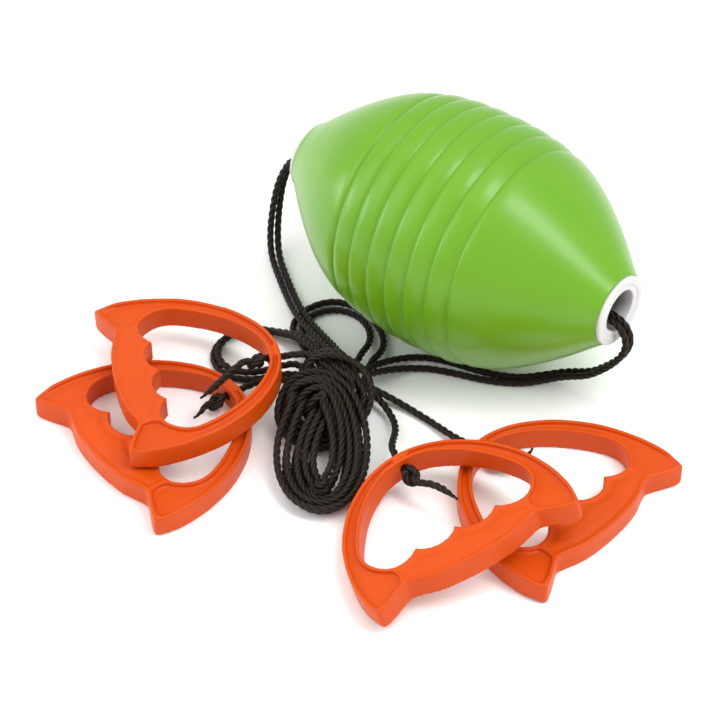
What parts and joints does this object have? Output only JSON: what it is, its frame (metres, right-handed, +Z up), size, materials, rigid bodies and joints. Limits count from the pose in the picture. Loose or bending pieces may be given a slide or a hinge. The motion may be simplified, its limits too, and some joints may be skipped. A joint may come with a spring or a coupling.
{
  "type": "rope shuttle ball game",
  "caption": "Hollow egg-shaped ball that slides along parallel ropes, with bow-shaped pull handles knotted to the rope ends and the spare rope tied in a hank.",
  "frame": {"origin": "centre of the box of the ball and the handles, on the surface that they lie on", "axes": "+Z up, +X along the longer side of the laid-out set, +Y away from the side with the hank's free loop"},
  "size_m": [0.3617, 0.33, 0.1437],
  "materials": {
    "green_plastic": "glossy moulded",
    "orange_plastic": "satin moulded",
    "white_plastic": "satin moulded",
    "rope": "three-strand laid cord"
  },
  "bodies": {
    "ropes": {"rope_hank": "rope", "rope_run_1": "rope", "rope_run_2": "rope", "rope_lead_a": "rope", "rope_lead_b": "rope", "rope_lead_c": "rope", "rope_lead_d": "rope", "rope_left_loop_1": "rope", "rope_left_loop_2": "rope", "rope_top_loop_1": "rope", "rope_top_loop_2": "rope"},
    "ball": {"ball_band_left": "green_plastic", "ball_band_right": "green_plastic", "ball_cone_left": "green_plastic", "ball_cone_right": "green_plastic", "rope_bush_left": "white_plastic", "rope_bush_right": "white_plastic"},
    "handle_a_body": {"handle_a": "orange_plastic", "stopper_knot_a": "rope"},
    "handle_b_body": {"handle_b": "orange_plastic", "stopper_knot_b": "rope"},
    "handle_c_body": {"handle_c": "orange_plastic", "stopper_knot_c": "rope"},
    "handle_d_body": {"handle_d": "orange_plastic", "stopper_knot_d": "rope"}
  },
  "joints": [
    {"name": "ball_slide", "type": "slide", "parent": "ropes", "child": "ball", "axis": [0.7733, -0.6341, 0], "range_m": [-0.008, 0]},
    {"name": "handle_a_lift", "type": "hinge", "parent": "ropes", "child": "handle_a_body", "pos_m": [-0.04106, 0.02417, 0.02343], "axis": [-0.2378, 0.9713, -0.0057], "range_deg": [0, 50]},
    {"name": "handle_b_swing", "type": "hinge", "parent": "ropes", "child": "handle_b_body", "pos_m": [-0.06639, 0.01342, 0.007], "axis": [0, 0, 1], "range_deg": [-12, 10]},
    {"name": "handle_c_lift", "type": "hinge", "parent": "ropes", "child": "handle_c_body", "pos_m": [0.02458, -0.05026, 0.0139], "axis": [-0.8703, -0.4425, -0.2163], "range_deg": [0, 50]},
    {"name": "handle_d_swing", "type": "hinge", "parent": "ropes", "child": "handle_d_body", "pos_m": [0.06749, -0.03292, 0.007], "axis": [0, 0, 1], "range_deg": [0, 25]}
  ]
}
